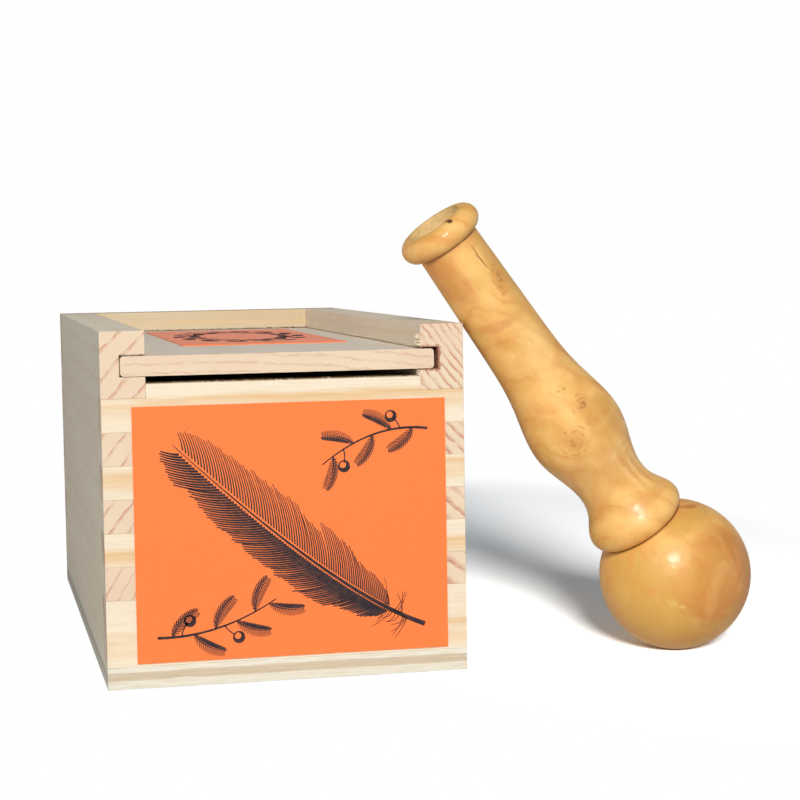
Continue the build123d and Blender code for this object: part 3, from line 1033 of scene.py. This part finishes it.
# Ball
# Turned from the same boxwood as the tube and varnished. Its tenon is pressed up into the skirt's socket,
# and a bore leads from there to the sound outlet at its far pole.
tenon_radius = 5.95
tenon_level = seat_level + 6.2
outlet_radius = 2.5
outlet_level = -sqrt(ball_radius**2 - outlet_radius**2)
chamber_level = outlet_level + 3.0
lowest = np.degrees(np.arcsin(outlet_level / ball_radius))
highest = np.degrees(np.arcsin(seat_level / ball_radius))
ball_outline = np.vstack((
    arc((0, 0), ball_radius, lowest, highest, steps=90),
    [
        (tenon_radius, seat_level),
        (tenon_radius, tenon_level),
        (whistle_space_radius, tenon_level),
        (whistle_space_radius, tenon_level - whistle_space_depth),
        (bore_radius, tenon_level - whistle_space_depth),
        (bore_radius, chamber_level + bore_radius - outlet_radius),
        (outlet_radius, chamber_level),
    ],
))
ball_patches = [
    (-130, 0.0, 8.0, 16.0, 0, "#D2A049", 0.85, 0.5),
    (-66, -1.5, 8.6, 9.5, 8, "#CC863A", 0.95, 0.2),
    (-42, -3.0, 3.0, 9.0, 10, "#C17A32", 0.55, 0.5),
    (-92, 5.0, 1.8, 5.0, -25, "#DFA24F", 0.5, 0.5),
    (-48, 9.9, 6.5, 1.8, -12, "#D09C46", 0.85, 0.4),
    (-22, 10.9, 2.0, 0.7, -25, "#BE6F30", 0.85, 0.4),
    (-112, 1.1, 0.5, 0.8, 15, "#E3BB66", 0.7, 0.6),
    (-108, -0.4, 0.4, 0.5, 0, "#E3BB66", 0.6, 0.6),
]
ball_mesh = turned("turned_ball", ball_outline)
ball_mesh.materials.append(
    varnished_boxwood(
        "varnished_boxwood_ball", skin_radius=12.0, band_lean=(0.9, 0.6, 0.3), band_width=20.0,
        patches=ball_patches, knots=[], seams=[(seat_level, 0.4)],
    )
)
turned_ball = put_in_scene("turned_ball", ball_mesh)
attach(turned_ball, "call")
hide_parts("call_ball")

# Stage
# A plain white table under a white sky. One lamp lights the object, one lays its shadow on the table, and
# softboxes and daylight fill the shadows in. Sizes from here on are metres.
half_table = 3.0
corners = [(x * half_table, y * half_table, 0) for x, y in ((-1, -1), (1, -1), (1, 1), (-1, 1))]
table_mesh = bpy.data.meshes.new("table")
table_mesh.from_pydata(corners, [], [(0, 1, 2, 3)])
table = put_in_scene("table", table_mesh)

# White matt board: brighter to the camera than to bounced light, so that it prints as white as paper, and
# plain white away from the call's shadow
table_white, tree, shader = new_material("white_board")
bounced = (0.62, 0.62, 0.62, 1)
to_camera = (1.54, 1.53, 1.51, 1)
shadow_middle = (0.088, 0.065, 0)
shadow_reach = (0.07, 0.17, 1)
tree.nodes.remove(shader)
seen = add(tree, "LightPath")["Is Camera Ray"]
white = add(tree, "MixRGB", {0: seen, 1: bounced, 2: to_camera})[0]
matt = add(tree, "BsdfDiffuse", {"Color": white})[0]
glow = add(tree, "Emission", {"Color": linear("#FFFFFF"), "Strength": 1.0})[0]
place = add(tree, "TexCoord")["Object"]
from_shadow = add(tree, "VectorMath", {0: place, 1: shadow_middle}, operation="SUBTRACT")[0]
from_shadow = add(tree, "VectorMath", {0: from_shadow, 1: shadow_reach}, operation="DIVIDE")[0]
away = add(tree, "VectorMath", {0: from_shadow}, operation="LENGTH")["Value"]
far = add(tree, "MapRange", {"Value": away, "From Min": 0.8, "From Max": 1.25}, **soft)[0]
fade = add(tree, "Math", {0: far, 1: seen}, operation="MULTIPLY")[0]
surface = add(tree, "MixShader", {0: fade, 1: matt, 2: glow})[0]
connect(tree, tree.nodes["Material Output"], {"Surface": surface})
table_mesh.materials.append(table_white)

# Daylight comes from the sides more than from above, and the camera sees it as plain white
daylight_strength = 0.9
seen_white = (1.1, 1.1, 1.1, 1)
world = bpy.data.worlds.new("daylight")
bpy.context.scene.world = world
world.use_nodes = True
tree = world.node_tree
tree.nodes.clear()
seen = add(tree, "LightPath")["Is Camera Ray"]
up = add(tree, "SeparateXYZ", {0: add(tree, "TexCoord")["Generated"]})["Z"]
sky = add(tree, "ValToRGB", {0: up}, stops=[(0.0, "#EBF6FF"), (0.3, "#62676D"), (1.0, "#62676D")])[0]
day = add(tree, "MixRGB", {0: seen, 1: sky, 2: seen_white})[0]
background = add(tree, "Background", {"Color": day, "Strength": daylight_strength})[0]
add(tree, "OutputWorld", {"Surface": background})


def area_light(name, place, aim, size, energy, lit):
    """An area light at a place that looks at aim and lights only what the collection lit lets it."""
    light = put_in_scene(name, bpy.data.lights.new(name, "AREA"))
    light.data.size = size
    light.data.energy = energy
    light.location = place
    light.rotation_euler = (Vector(aim) - light.location).to_track_quat("-Z", "Y").to_euler()
    light.light_linking.receiver_collection = lit
    return light


# One lamp by the camera lights the object, and a lower one beside it lays the object's shadow on the table
off_table = bpy.data.collections.new("off_table")
off_table.objects.link(table)
off_table.collection_objects[0].light_linking.link_state = "EXCLUDE"
on_table = bpy.data.collections.new("on_table")
on_table.objects.link(table)
lamp_aim = (0.03, -0.03, 0.03)
for name, place, size, energy, lit in (
    ("lamp", (-0.049, -0.398, 0.225), 0.085, 8.9, off_table),
    ("table_lamp", (0.004, -0.445, 0.15), 0.08, 18.5, on_table),
):
    lamp = area_light(name, place, lamp_aim, size, energy, lit)
    lamp.data.shape = "DISK"
    lamp.data.use_nodes = True
    tree = lamp.data.node_tree
    even = add(tree, "LightFalloff", {"Strength": 1.0})["Constant"]
    connect(tree, tree.nodes["Emission"], {"Strength": even})

# Softboxes all round fill the shadows on the object, and leave those on the table alone
softbox_aim = (0, 0, 0)
softbox_size = 0.85
softbox_white = linear("#E8F0FF")[:3]
for name, place, energy in (
    ("left", (-0.8, -0.3, 0.3), 2.3),
    ("right", (0.8, -0.3, 0.3), 2.2),
    ("top", (0, -0.1, 0.9), 1.2),
    ("back", (0.1, 0.85, 0.15), 4.0),
):
    softbox = area_light("softbox_" + name, place, softbox_aim, softbox_size, energy, off_table)
    softbox.data.color = softbox_white
    softbox.visible_glossy = False

# The camera stands where the photograph's did, as fitted to the edges of the case
camera_data = bpy.data.cameras.new("camera")
camera_data.lens = 92.0
camera_data.sensor_width = 36.0
camera = put_in_scene("camera", camera_data)
camera.location = (-0.05784, -0.42861, 0.07650)
camera_aim = Vector((0.02105, -0.066, 0.05026))
camera_roll = radians(-0.94)
look = (camera_aim - camera.location).to_track_quat("-Z", "Y")
camera.rotation_mode = "QUATERNION"
camera.rotation_quaternion = look @ Quaternion((0, 0, 1), camera_roll)
bpy.context.scene.camera = camera
bpy.context.scene.view_settings.view_transform = "Standard"
